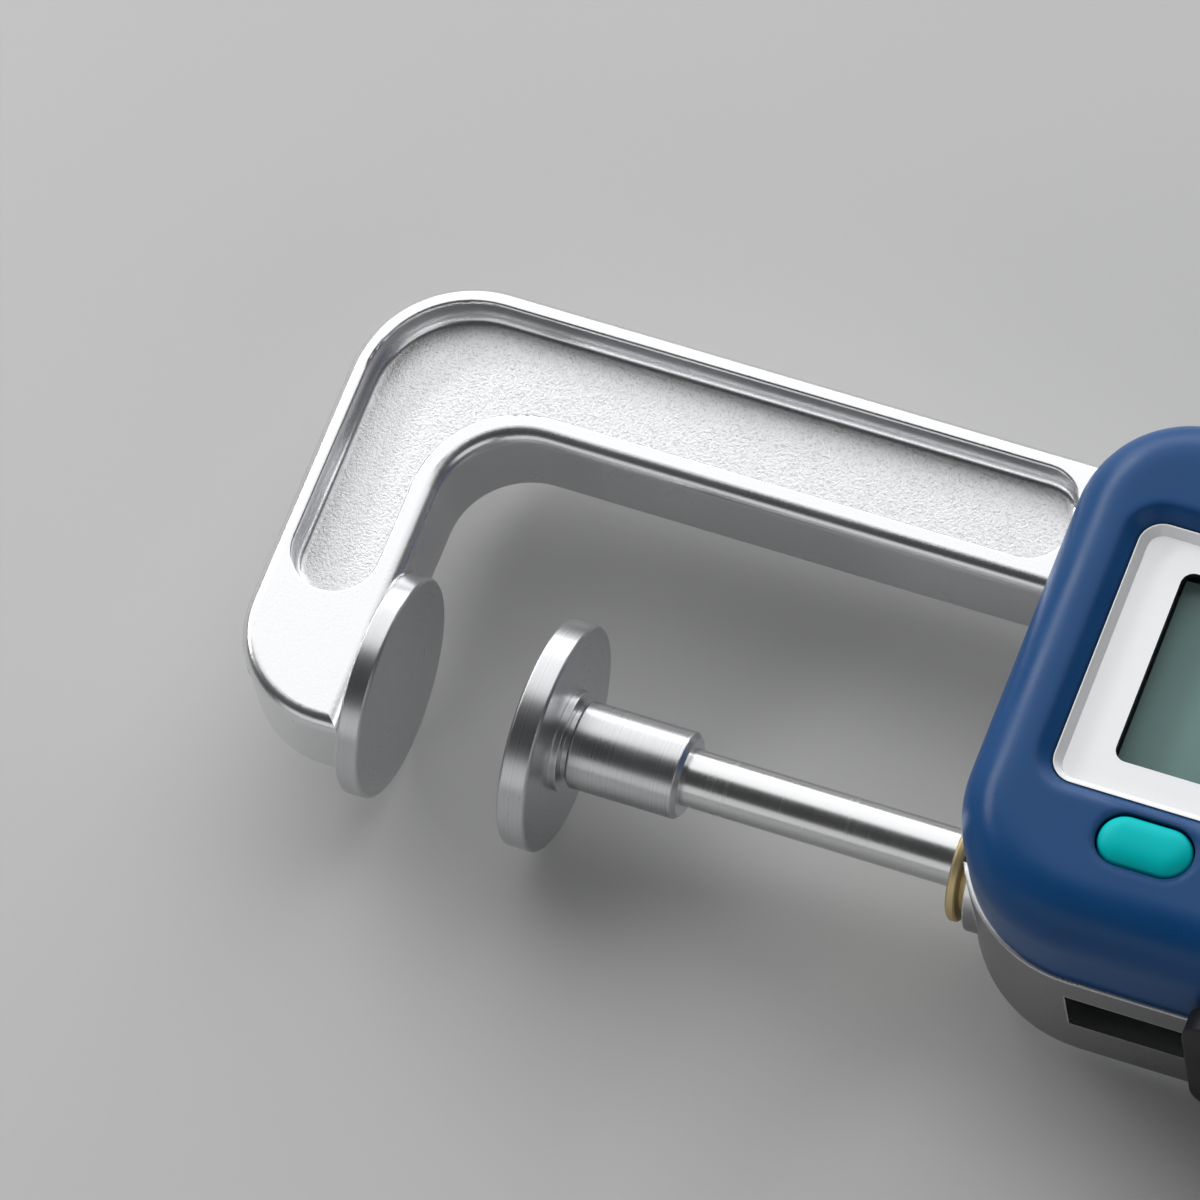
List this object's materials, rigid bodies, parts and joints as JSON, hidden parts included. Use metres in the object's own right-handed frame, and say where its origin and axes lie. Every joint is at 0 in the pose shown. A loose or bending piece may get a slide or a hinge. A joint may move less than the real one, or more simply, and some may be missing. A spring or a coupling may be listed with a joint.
{
  "type": "digital thickness gauge",
  "caption": "Handheld digital thickness gauge: cast C-frame, sprung spindle with flat measuring discs, finger lever and display case with push buttons.",
  "frame": {"origin": "centre of the fixed disc's measuring face, on the spindle axis", "axes": "+X along the spindle from the fixed disc to the case, +Y from the spindle to the arm of the frame, +Z out of the display"},
  "size_m": [0.0971, 0.048, 0.0198],
  "materials": {
    "cast_alloy": "satin casting",
    "ground_steel": "turned and ground",
    "polished_steel": "polished",
    "brass": "machined",
    "machined_alloy": "machined",
    "black_steel": "blackened",
    "scale_laminate": "etched laminate",
    "black_plastic": "fine grain",
    "bright_steel": "drawn",
    "spring_steel": "drawn wire",
    "blue_plastic": "satin moulding",
    "silver_plate": "fine blasted",
    "clear_window": "polished",
    "display_glass": "display film",
    "rubber_strip": "layered rubber",
    "board": "solder mask",
    "resin": "cured drop",
    "zinc_screw": "zinc plated",
    "dome_metal": "stamped",
    "teal_rubber": "soft moulding",
    "cell_can": "drawn can",
    "contact_bronze": "stamped strip",
    "cap_alloy": "turned",
    "seal_rubber": "moulded ring"
  },
  "bodies": {
    "case": {"frame_casting": "cast_alloy", "anvil": "ground_steel", "front_bush": "brass", "guide_rod": "polished_steel", "return_spring": "spring_steel", "front_cover": "blue_plastic", "display_bezel": "silver_plate", "display_window": "clear_window", "lcd_panel": "display_glass", "zebra_strips": "rubber_strip", "circuit_board": "board", "controller_drop": "resin", "board_screws": "zinc_screw", "dome_switches": "dome_metal", "cover_screws": "zinc_screw", "battery_cell": "cell_can", "battery_liner": "black_plastic", "battery_contact_minus": "contact_bronze", "battery_contact_plus": "contact_bronze"},
    "spindle": {"spindle_disc": "ground_steel", "spindle_rod": "polished_steel", "carriage": "machined_alloy", "carriage_clamp_screw": "black_steel", "scale_plate": "scale_laminate", "finger_lever": "black_plastic", "lever_pin": "bright_steel"},
    "button_left": {"button_left": "teal_rubber"},
    "button_middle": {"button_middle": "teal_rubber"},
    "button_right": {"button_right": "teal_rubber"},
    "battery_cap": {"battery_cap": "cap_alloy", "battery_seal": "seal_rubber"}
  },
  "joints": [
    {"name": "spindle_slide", "type": "slide", "parent": "case", "child": "spindle", "axis": [1, 0, 0], "range_m": [-0.0091, 0.01625], "stiffness_N_per_m": 30, "springref_m": -0.03, "deforming": ["return_spring"]},
    {"name": "button_left_press", "type": "slide", "parent": "case", "child": "button_left", "axis": [0, 0, -1], "range_m": [0, 0.0007], "stiffness_N_per_m": 400, "springref_m": -0.001},
    {"name": "button_middle_press", "type": "slide", "parent": "case", "child": "button_middle", "axis": [0, 0, -1], "range_m": [0, 0.0007], "stiffness_N_per_m": 400, "springref_m": -0.001},
    {"name": "button_right_press", "type": "slide", "parent": "case", "child": "button_right", "axis": [0, 0, -1], "range_m": [0, 0.0007], "stiffness_N_per_m": 400, "springref_m": -0.001},
    {"name": "battery_cap_turn", "type": "hinge", "parent": "case", "child": "battery_cap", "pos_m": [0.06198, 0.0173, -0.0066], "axis": [0, 0, 1], "range_deg": [0, 60]}
  ]
}
